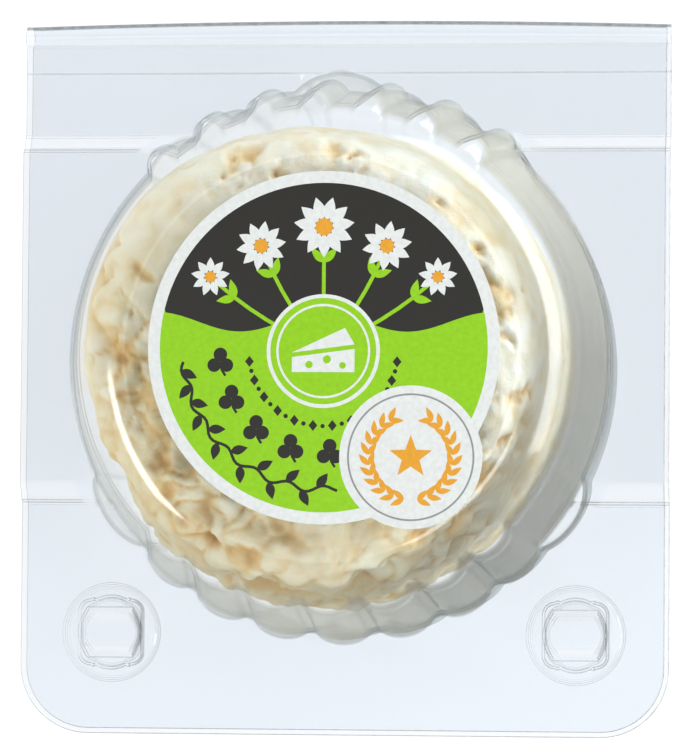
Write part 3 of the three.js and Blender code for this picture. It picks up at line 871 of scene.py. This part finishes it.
def rim_mesh(side, rise, inset, foot_ring, stud_inset, stud_rises):
    """The rim as triangles that follow its bends, its studs and the bubble's foot."""
    points = []
    heights = []
    edges = []

    def add_outline(outline, levels):
        add_loop(points, edges, outline)
        heights.extend(levels)

    add_outline([tuple(p) for p in foot_ring[:, :2]], foot_ring[:, 2])
    _, foot_reach = from_bubble(foot_ring[:, 0], foot_ring[:, 1])
    scale = 1 + HOLD_WIDTH / foot_reach
    hold_x = BUBBLE_X + (foot_ring[:, 0] - BUBBLE_X) * scale
    hold_y = BUBBLE_Y + (foot_ring[:, 1] - BUBBLE_Y) * scale
    hold = list(zip(hold_x[::2], hold_y[::2]))
    add_outline(hold, rim_height([p[1] for p in hold], rise, side))

    lines, crest = bend_lines()
    outline = rim_outline(inset, lines, crest)
    bent = [(x, float(bowed(x, y))) for x, y in outline]
    add_outline(bent, rim_height([p[1] for p in outline], rise, side))

    reach = HALF_WIDTH - inset
    for line in lines:
        xs = np.linspace(-reach, reach, 121)[1:-1]
        keep = outside_foot(xs, np.full_like(xs, line), foot_ring, HOLD_CLEARANCE)
        height = float(rim_height(line, rise, side))
        for x, kept, follows in zip(xs, keep, (False, *keep)):
            if kept and follows:
                edges.append((len(points) - 1, len(points)))
            if kept:
                points.append((x, float(bowed(x, line))))
                heights.append(height)

    for x in (-STUD_X, STUD_X):
        base = float(rim_height(STUD_Y, rise, side))
        for ring, level in stud_rings(x, stud_inset, base, stud_rises):
            add_outline(ring, [level] * len(ring))

    flat = [Vector(p) for p in points]
    verts, _, faces, origins, _, _ = delaunay_2d_cdt(flat, edges, [], 0, 1e-7)
    z = [heights[o[0]] if o else 0.0 for o in origins]
    corners = np.array([(v.x, v.y, h) for v, h in zip(verts, z)])
    x, y, _ = np.array([np.mean(corners[list(f)], axis=0) for f in faces]).T
    radius = CORNER_RADIUS - inset
    past = np.stack((np.abs(x) - (reach - radius), -HALF_LENGTH + inset + radius - y))
    in_corner = (past > 0).all(axis=0) & (np.hypot(*past) > radius)
    kept = outside_foot(x, y, foot_ring, -1e-4) & ~in_corner
    return corners, [tuple(face) for face, use in zip(faces, kept) if use]


def shell_piece(name, side, rise, inset, profile, foot_radius, lobes, stud_inset, stud_rises, materials):
    centre, rings, ring_crease_shades = shell_surface(side, rise, profile, foot_radius, lobes)
    rim_points, rim_faces = rim_mesh(side, rise, inset, rings[-1], stud_inset, stud_rises)
    points = np.vstack((centre, *rings, rim_points))
    faces = [(0, 1 + k, 1 + (k + 1) % BUBBLE_SIDES) for k in range(BUBBLE_SIDES)]
    for level in range(len(rings) - 1):
        faces += ring_quads(1 + level * BUBBLE_SIDES, BUBBLE_SIDES, flipped=True)
    start = 1 + len(rings) * BUBBLE_SIDES
    faces += [tuple(start + v for v in face) for face in rim_faces]
    wobble = noise_at([Vector(p) for p in points], WOBBLE_SCALE)
    away = np.clip((HALF_LENGTH - WOBBLE_FADE - np.abs(points[:, 1])) / WOBBLE_FADE, 0, 1)
    _, reach = from_bubble(points[:, 0], points[:, 1])
    points[:, 2] += WOBBLE * wobble * away * between(*WOBBLE_REACH, reach)
    points[:, 2] += MEETING_Z
    if side < 0:
        faces = [tuple(reversed(face)) for face in faces]
    creases = np.concatenate([[0.0], *ring_crease_shades, np.zeros(len(rim_points))])
    return thickened(name, points, faces, side, materials, creases)


# Cheese


def seeded(seed):
    """Repeatable random numbers from 0 to 1, the same as those of the solid's source."""
    state = seed
    while True:
        state = (state * 16807) % 2147483647
        yield state / 2147483647


def curd_middles():
    draw = seeded(CURD_SEED)
    side_height = BACK_DEPTH + CHEESE_FACE_HEIGHT - TOP_EDGE_DROP
    middles = []
    for _ in range(CURD_COUNT):
        turn = 2 * math.pi * next(draw)
        share = next(draw) / CURD_SIDE_SHARE
        on_face = share > 1
        reach = CHEESE_TOP_RADIUS * math.sqrt(next(draw)) if on_face else CHEESE_MIDDLE_RADIUS
        height = CHEESE_FACE_HEIGHT if on_face else share * side_height - BACK_DEPTH
        middles.append((reach * math.cos(turn), reach * math.sin(turn), height))
    return middles


def lump_middles(path):
    """Middles of small lumps, spread over the whole skin."""
    draw = seeded(CURD_SEED + 9)
    middles = []
    while len(middles) < LUMP_COUNT:
        r, level = path[int(next(draw) * len(path))]
        turn = 2 * math.pi * next(draw)
        if next(draw) * CHEESE_BASE_RADIUS < r:
            middles.append((r * math.cos(turn), r * math.sin(turn), level))
    return middles


def gap_between(points, middles):
    """For each point, how much further its second nearest middle is than its nearest."""
    tree = kdtree.KDTree(len(middles))
    for k, middle in enumerate(middles):
        tree.insert(middle, k)
    tree.balance()
    found = [tree.find_n(point, 2) for point in points]
    return np.array([pair[1][2] - pair[0][2] for pair in found])


def cheese_profile():
    """Fine stations from the middle of the base to the middle of the face."""
    base = -BACK_DEPTH + SHEET + CHEESE_LIFT
    low = base + CHEESE_BASE_EDGE
    high = CHEESE_FACE_HEIGHT - TOP_EDGE_DROP
    path = [(r, base) for r in np.arange(0.5, CHEESE_BASE_RADIUS - CHEESE_BASE_EDGE, 2 * CHEESE_STEP)]
    for turn in np.linspace(-math.pi / 2, 0, 20):
        r = CHEESE_BASE_RADIUS - CHEESE_BASE_EDGE + CHEESE_BASE_EDGE * math.cos(turn)
        path.append((r, low + CHEESE_BASE_EDGE * math.sin(turn)))
    steps = int((high - low) / CHEESE_STEP)
    for k in range(1, steps):
        share = k / steps
        lower = CHEESE_BASE_RADIUS + (CHEESE_MIDDLE_RADIUS - CHEESE_BASE_RADIUS) * share
        upper = (CHEESE_MIDDLE_RADIUS - CHEESE_TOP_RADIUS) * share**CHEESE_TAPER_POWER
        path.append((lower - upper, low + (high - low) * share))
    rim = CHEESE_TOP_RADIUS - TOP_EDGE_REACH
    for turn in np.linspace(0, math.pi / 2, 26):
        path.append((rim + TOP_EDGE_REACH * math.cos(turn), high + TOP_EDGE_DROP * math.sin(turn)))
    path += [(r, CHEESE_FACE_HEIGHT) for r in np.arange(rim - CHEESE_STEP, 0.4, -CHEESE_STEP)]
    return np.array(path)


def room_at(height):
    """Inner radius of the bubbles between their lobes, at a height from the meeting plane."""
    stations = [(r, z) for r, z, _ in back_profile()[1:]]
    stations += [(BACK_MOUTH_RADIUS, 0.0), (FRONT_FOOT_RADIUS, 0.01)]
    stations += [(r, z) for r, z, _ in reversed(front_profile()[1:])]
    stations = np.array(stations)
    return np.interp(height, stations[:, 1], stations[:, 0]) - SHEET


def pit_places(path):
    """Pits as middles on the skin, radius and depth: those in view first, then scattered ones."""
    top = path[path[:, 1] > 0]
    pits = []
    for x, y, radius, depth in SEEN_PITS:
        reach = math.hypot(x - CHEESE_X, y - CHEESE_Y)
        level = float(np.interp(reach, top[::-1, 0], top[::-1, 1]))
        pits.append((x - CHEESE_X, y - CHEESE_Y, level, radius, depth))
    draw = seeded(CURD_SEED + 4)
    while len(pits) < PIT_COUNT:
        turn = 2 * math.pi * next(draw)
        r, level = path[int(next(draw) * len(path))]
        radius = PIT_LEAST_RADIUS + PIT_MORE_RADIUS * next(draw) ** 2
        x = r * math.cos(turn)
        y = r * math.sin(turn)
        if min(math.dist((x, y, level), pit[:3]) for pit in pits) > PIT_SPACING:
            pits.append((x, y, level, radius, PIT_DEPTH_SHARE * radius))
    return np.array(pits)


def bend_at(spots, scale):
    return np.array([noise.noise_vector(p * scale) for p in spots])


def facing(angles, side):
    """How far each angle faces a side, from -1 to 1."""
    return np.stack((np.cos(angles), np.sin(angles)), 1) @ np.array(side)


def recess(degrees, height):
    """Share of the hollow in the left side of the cheese."""
    share = between(RECESS_FROM, RECESS_FROM + RECESS_STEP, degrees)
    share *= 1 - between(RECESS_TO, RECESS_TO + RECESS_FADE, degrees)
    return share * (1 - between(RECESS_LOW, RECESS_HIGH, height))


def curd_relief(path, angles, skin):
    """How far each point of the skin sinks, how stained it is and how warm in colour."""
    noise.seed_set(WARP_SEED)
    spots = [Vector(p) for p in skin]
    warped = skin + WARP * bend_at(spots, WARP_SCALE)
    ragged = warped + PIT_RAGGEDNESS * bend_at(spots, RAGGED_SCALE)
    ragged += 0.4 * PIT_RAGGEDNESS * bend_at(spots, FINE_RAGGED_SCALE)
    broad = noise_at(spots, BROAD_SCALE, (9, 4, 2))
    patchy = between(-0.35, 0.35, noise_at(spots, PATCH_SCALE))
    rough = np.array([noise.fractal(p * ROUGH_SCALE, 1.0, 2.0, 5) for p in spots])
    knobbly = noise_at(spots, KNOB_SCALE, (3, 7, 1))
    crumbly = between(-0.45, 0.6, facing(angles, CRUMBLY_SIDE)) * (0.25 + 0.75 * patchy)
    flakes = np.exp(-gap_between(warped, curd_middles()) / CURD_SOFTNESS)
    gap = gap_between(warped, lump_middles(path))
    lumps = np.exp(-gap / LUMP_SOFTNESS)
    cracks = np.exp(-gap / CRACK_SOFTNESS)
    sink = CURD_DEPTH * flakes * (0.2 + 0.8 * crumbly) + (0.04 + crumbly) * LUMP_DEPTH * lumps
    sink += CRACK_DEPTH * crumbly * cracks + ROUGH_DEPTH * rough + BROAD_DEPTH * broad
    sink += KNOB_DEPTH * knobbly * (0.2 + 0.8 * crumbly)
    pitted = np.zeros(len(skin))
    for x, y, level, size, depth in pit_places(path):
        away = np.linalg.norm(ragged - (x, y, level), axis=1) / size
        hollow = 1 - between(0.0, 1.4, away)
        sink += depth * hollow
        pitted = np.maximum(pitted, hollow * min(1.0, depth / 1.5))
    sink += RECESS_DEPTH * recess(np.degrees(angles), skin[:, 2])
    stain = 0.62 * pitted + crumbly * (0.32 * cracks + 0.2 * lumps - 0.06) + 0.12 * flakes + 0.1 * rough
    warmth = between(-1.2, 1.0, facing(angles, WARM_SIDE)) * 0.85 + 0.35 * broad + 0.08
    warmth *= 1 - 0.45 * crumbly * (1 - np.sqrt(lumps))
    return sink, stain, np.clip(warmth, 0, 1)


def cheese_piece(material):
    path = cheese_profile()
    along = np.vstack((path[1:], path[-1:])) - np.vstack((path[:1], path[:-1]))
    along /= np.linalg.norm(along, axis=1)[:, None]
    angles = np.tile(np.arange(CHEESE_SIDES) * 2 * math.pi / CHEESE_SIDES, len(path))
    radius, height = np.repeat(path, CHEESE_SIDES, axis=0).T
    inward, upright = np.repeat(along, CHEESE_SIDES, axis=0).T
    skin = np.stack((radius * np.cos(angles), radius * np.sin(angles), height), 1)
    sink, stain, warmth = curd_relief(path, angles, skin)
    sink = np.where(height < -BACK_DEPTH + FLAT_BASE, 0, sink)
    towards = np.cos(angles - FULL_SIDE)
    full = FULLNESS * towards * np.abs(towards) ** 3
    reach = radius + full * np.maximum(0, upright) - sink * upright
    x = CHEESE_X - BUBBLE_X + reach * np.cos(angles)
    y = CHEESE_Y - BUBBLE_Y + reach * np.sin(angles)
    sunken = height + sink * inward
    room = room_at(sunken) - WALL_CLEARANCE
    pull = np.minimum(1, room / np.hypot(x, y))
    points = np.stack((BUBBLE_X + x * pull, BUBBLE_Y + y * pull, MEETING_Z + sunken), 1)
    faces = []
    for level in range(len(path) - 1):
        faces += ring_quads(level * CHEESE_SIDES, CHEESE_SIDES)
    faces.append(tuple(reversed(range(CHEESE_SIDES))))
    last = (len(path) - 1) * CHEESE_SIDES
    faces.append(tuple(range(last, last + CHEESE_SIDES)))
    piece = new_object("curd_cheese", points, faces, [material])
    store(piece, "stain", stain)
    store(piece, "warmth", warmth)
    return piece


# Label


def leaf(x, y, length, width, degrees):
    """A pointed oval from its stalk at x, y outwards."""
    turn = math.radians(degrees)
    along = np.linspace(0, 1, 9)
    half = 0.5 * width * np.sin(math.pi * along**0.8)
    sides = list(zip(along, half)) + list(zip(along[-2:0:-1], -half[-2:0:-1]))
    return [
        (
            x + length * a * math.cos(turn) - h * math.sin(turn),
            y + length * a * math.sin(turn) + h * math.cos(turn),
        )
        for a, h in sides
    ]


def stalk(points, width):
    """A thin curved band through the given points."""
    path = np.array(points)
    run = np.gradient(path, axis=0)
    run /= np.linalg.norm(run, axis=1)[:, None]
    across = 0.5 * width * np.stack((-run[:, 1], run[:, 0]), 1)
    return [tuple(p) for p in path + across] + [tuple(p) for p in (path - across)[::-1]]


def daisy(x, y, size, petals):
    shapes = []
    for k in range(petals):
        degrees = 360 * (k + 0.25) / petals
        start = polar(0.25 * size, degrees, x, y)
        shapes.append((leaf(*start, 0.8 * size, 0.42 * size, degrees), WHITE))
    shapes.append((disc(x, y, 0.3 * size, 24), GOLD))
    return shapes


def bouquet():
    """Daisies spread over the charcoal field, their stalks meeting behind the badge."""
    shapes = []
    for degrees, reach, size, petals in BOUQUET:
        turn = math.radians(degrees)
        lean = 1.5 * math.cos(turn)
        path = []
        for t in np.linspace(0, 1, 8):
            x = reach * t * math.cos(turn) + lean * math.sin(math.pi * t)
            path.append((x, BADGE_Y + reach * t * math.sin(turn)))
        shapes.append((stalk(path, 0.5), GREEN))
        for side in (-1, 1):
            shapes.append((leaf(*path[5], 2.6, 1.1, degrees + 42 * side), GREEN))
        shapes += daisy(*path[7], size, petals)
    return shapes


def badge():
    """A green round in the middle with a white wedge of cheese on it."""
    y = BADGE_Y
    rounds = ((7.6, WHITE), (7.1, GREEN), (6.3, WHITE), (6.0, GREEN))
    shapes = [(disc(0, y, radius, 80), colour) for radius, colour in rounds]
    top = [(-4.2, y - 0.2), (2.9, y + 3.1), (4.2, y + 0.9)]
    front = [(-4.2, y - 0.8), (4.2, y + 0.3), (4.2, y - 2.8), (-4.2, y - 2.8)]
    shapes += [(top, WHITE), (front, WHITE)]
    for x, rise, radius in ((-1.9, -1.8, 0.5), (0.5, -1.1, 0.55), (2.6, -1.9, 0.45)):
        shapes.append((disc(x, y + rise, radius, 20), GREEN))
    return shapes


def bead_chain():
    """Charcoal lozenges and dots in an arc under the badge."""
    shapes = []
    for k in range(23):
        x, y = polar(CHAIN_REACH, 188 + 7.45 * k, y=BADGE_Y)
        if k % 2:
            shapes.append((disc(x, y, 0.3, 14), CHARCOAL))
        else:
            shapes.append(([(x - 0.6, y), (x, y - 0.75), (x + 0.6, y), (x, y + 0.75)], CHARCOAL))
    return shapes


def clovers():
    shapes = []
    for k in range(5):
        turn = math.radians(186 + 22 * k)
        x = CLOVER_REACH[0] * math.cos(turn)
        y = BADGE_Y + CLOVER_REACH[1] * math.sin(turn)
        for petal in range(3):
            shapes.append((disc(*polar(0.95, 90 + 120 * petal, x, y), 0.92, 24), CHARCOAL))
        shapes.append((stalk([(x, y), (x + 0.2, y - 1.1), (x + 0.7, y - 1.9)], 0.35), CHARCOAL))
    return shapes


def vine():
    """A charcoal vine with leaves that follows the lower edge of the print."""
    degrees = np.linspace(186, 276, 56)
    path = [polar(VINE_REACH + 0.45 * math.sin(0.7 * k), degrees[k]) for k in range(56)]
    shapes = [(stalk(path, 0.4), CHARCOAL)]
    for k in range(2, 54, 4):
        lean = 55 if k % 8 == 2 else -55
        shapes.append((leaf(*path[k], 2.4, 1.25, degrees[k] + 90 + lean), CHARCOAL))
    return shapes


def medal():
    """An off-white round with a thin grey ring, a gold wreath and a gold star in it."""
    rounds = ((MEDAL_RADIUS, WHITE), (8.5, GREY), (8.25, WHITE))
    shapes = [(disc(MEDAL_X, MEDAL_Y, radius, 120), colour) for radius, colour in rounds]
    star = [polar(1.25 if k % 2 else 3.0, 90 + 36 * k, MEDAL_X, MEDAL_Y) for k in range(10)]
    shapes.append((star, GOLD))
    for side in (-1, 1):
        for k in range(11):
            degrees = -90 + side * (9 + 14 * k)
            foot = polar(WREATH_REACH, degrees, MEDAL_X, MEDAL_Y)
            for lean in (32, -32):
                shapes.append((leaf(*foot, 2.0, 0.8, degrees + side * 90 + lean), GOLD))
    return shapes


def print_shapes():
    """All outlines of the print with their colours, from the lowest to the topmost."""
    hills = [(x, HILL_Y + HILL_RISE * math.cos(x * 0.28)) for x in np.linspace(-22, 22, 120)]
    above = [(x, y) for x, y in disc(0, 0, PRINT_RADIUS, 160) if y > 4.6]
    above.sort(key=lambda p: p[0], reverse=True)
    inside = [p for p in hills if math.hypot(*p) < PRINT_RADIUS - 0.01]
    shapes = [(disc(0, 0, PRINT_RADIUS, 160), GREEN), (inside + above, CHARCOAL)]
    return shapes + bouquet() + badge() + bead_chain() + clovers() + vine() + medal()


def label_piece(materials):
    """The die-cut film, with its print as fields of colour in its upper face."""
    shapes = print_shapes()
    points = []
    edges = []
    outlines = [outline for outline, _ in shapes]
    outlines.append(disc(0, 0, LABEL_RADIUS, 180))
    outlines.append(disc(MEDAL_X, MEDAL_Y, MEDAL_RADIUS + 0.001, 121))
    for outline in outlines:
        add_loop(points, edges, outline)
    verts, _, faces, _, _, _ = delaunay_2d_cdt([Vector(p) for p in points], edges, [], 0, 1e-6)
    flat = np.array([(v.x, v.y) for v in verts])
    middles = np.array([flat[list(face)].mean(axis=0) for face in faces])
    on_label = np.hypot(middles[:, 0], middles[:, 1]) < LABEL_RADIUS
    on_medal = np.hypot(middles[:, 0] - MEDAL_X, middles[:, 1] - MEDAL_Y) < MEDAL_RADIUS
    colours = np.full(len(faces), WHITE)
    for outline, colour in shapes:
        colours[contains(outline, middles)] = colour
    kept = [tuple(face) for face, use in zip(faces, on_label | on_medal) if use]
    chosen = colours[on_label | on_medal]
    raised = [(LABEL_X + x, LABEL_Y + y, LABEL_HIGH) for x, y in flat]
    piece = new_object("die_cut_label", raised, kept, materials, smooth=False, indices=chosen)
    wall = piece.modifiers.new("film", "SOLIDIFY")
    wall.thickness = FILM * MM
    wall.offset = -1.0
    return piece


def contains(outline, places):
    """Which of the places lie inside a closed outline."""
    inside = np.zeros(len(places), bool)
    x, y = places.T
    previous = outline[-1]
    for point in outline:
        if point[1] != previous[1]:
            between_ends = (point[1] > y) != (previous[1] > y)
            slope = (previous[0] - point[0]) / (previous[1] - point[1])
            inside ^= between_ends & (x < slope * (y - point[1]) + point[0])
        previous = point
    return inside


# Stage, lights and camera


def aimed(location, target, roll=0.0):
    """Placement that looks from location to target with +Y up, as far as it can be."""
    back = (Vector(location) - Vector(target)).normalized()
    hint = Vector((0, 1, 0)) if abs(back.y) < 0.9 else Vector((0, 0, 1))
    right = hint.cross(back).normalized()
    up = back.cross(right)
    turn = Matrix((right, up, back)).transposed().to_4x4()
    return Matrix.Translation(location) @ turn @ Matrix.Rotation(roll, 4, "Z")


def add_floor():
    mesh = bpy.data.meshes.new("floor")
    reach = FLOOR_REACH
    corners = [(-reach, -reach, 0), (reach, -reach, 0), (reach, reach, 0), (-reach, reach, 0)]
    mesh.from_pydata(corners, [], [(0, 1, 2, 3)])
    floor = bpy.data.objects.new("floor", mesh)
    bpy.context.scene.collection.objects.link(floor)
    material, tree = new_material("pale_floor")
    principled(tree, FLOOR_SURFACE)
    mesh.materials.append(material)


def add_light(name, location, target, size, watts, roll=0.0):
    data = bpy.data.lights.new(name, "AREA")
    data.shape = "RECTANGLE"
    data.size, data.size_y = size
    data.energy = watts
    lamp = bpy.data.objects.new(name, data)
    lamp.matrix_world = aimed(location, target, roll)
    bpy.context.scene.collection.objects.link(lamp)


def add_world():
    """Soft surroundings: bright all round and dim straight above."""
    world = bpy.data.worlds.new("studio")
    world.use_nodes = True
    tree = world.node_tree
    background = tree.nodes["Background"]
    place = add_node(tree, "ShaderNodeTexCoord", {})
    light = ramp(tree, split(tree, place.outputs["Generated"])["Z"], SURROUNDINGS)
    tree.links.new(light, background.inputs["Color"])
    bpy.context.scene.world = world


def add_camera():
    data = bpy.data.cameras.new("camera")
    data.lens = CAMERA_LENS
    data.sensor_width = 36
    camera = bpy.data.objects.new("camera", data)
    away = Vector((math.tan(CAMERA_RIGHT), -math.tan(CAMERA_DOWN), 1)).normalized()
    target = Vector(CAMERA_AIM)
    camera.matrix_world = aimed(target + CAMERA_DISTANCE * away, target, CAMERA_ROLL)
    bpy.context.scene.collection.objects.link(camera)
    bpy.context.scene.camera = camera


def add_lights():
    add_light("left_window", (-0.617, -0.224, 0.79), LIGHTS_AIM, (0.22, 0.46), 2.9)
    add_light("overhead_strip", (0.23, -0.30, 1.24), LIGHTS_AIM, (0.39, 0.19), 1.2, math.radians(45))
    for azimuth, watts in CARDS:
        place = (*polar(CARD_REACH, azimuth), CARD_HEIGHT)
        add_light(f"right_card_{azimuth}", place, LIGHTS_AIM, (0.27, 0.23), watts)
    add_light("zenith_panel", (-0.17, -0.29, 1.55), (-0.17, -0.29, 0), (0.45, 0.62), 0.78)


add_camera()
add_floor()
add_world()
add_lights()

edges = cut_edge()
front = shell_piece(
    "clear_front",
    side=1,
    rise=FRONT_BAND_RISE,
    inset=0.0,
    profile=front_profile(),
    foot_radius=FRONT_FOOT_RADIUS,
    lobes=FRONT_LOBE_ROWS,
    stud_inset=0.0,
    stud_rises=(PAD_RISE, STUD_RISE, BARREL_RISE),
    materials=[clear_plastic("clear_front", FRONT_WALL_SHADES, FRONT_STEP_SHADE), edges],
)
back = shell_piece(
    "clear_back",
    side=-1,
    rise=BACK_BAND_RISE,
    inset=BACK_INSET,
    profile=back_profile(),
    foot_radius=BACK_MOUTH_RADIUS,
    lobes=BACK_LOBE_ROWS,
    stud_inset=BACK_STUD_INSET,
    stud_rises=(PAD_RISE, STUD_RISE - BACK_STUD_DROP, BARREL_RISE - 2 * BACK_STUD_DROP),
    materials=[clear_plastic("clear_back", BACK_WALL_SHADES, BACK_STEP_SHADE), edges],
)
cheese = cheese_piece(curd())
label = label_piece([ink(name, colour) for name, colour in INKS])

for piece, node, body, slot in (
    (front, "front_shell", "lid", "clear_plastic"),
    (back, "back_shell", "base", "clear_plastic"),
    (cheese, "cheese", "base", "curd"),
    (label, "label", "lid", "label_print"),
):
    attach(piece, body)
    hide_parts(node)

scene = bpy.context.scene
scene.view_settings.view_transform = "Standard"
scene.cycles.transparent_max_bounces = 16
scene.cycles.max_bounces = 4
scene.cycles.diffuse_bounces = 2
scene.cycles.glossy_bounces = 1
scene.cycles.transmission_bounces = 2
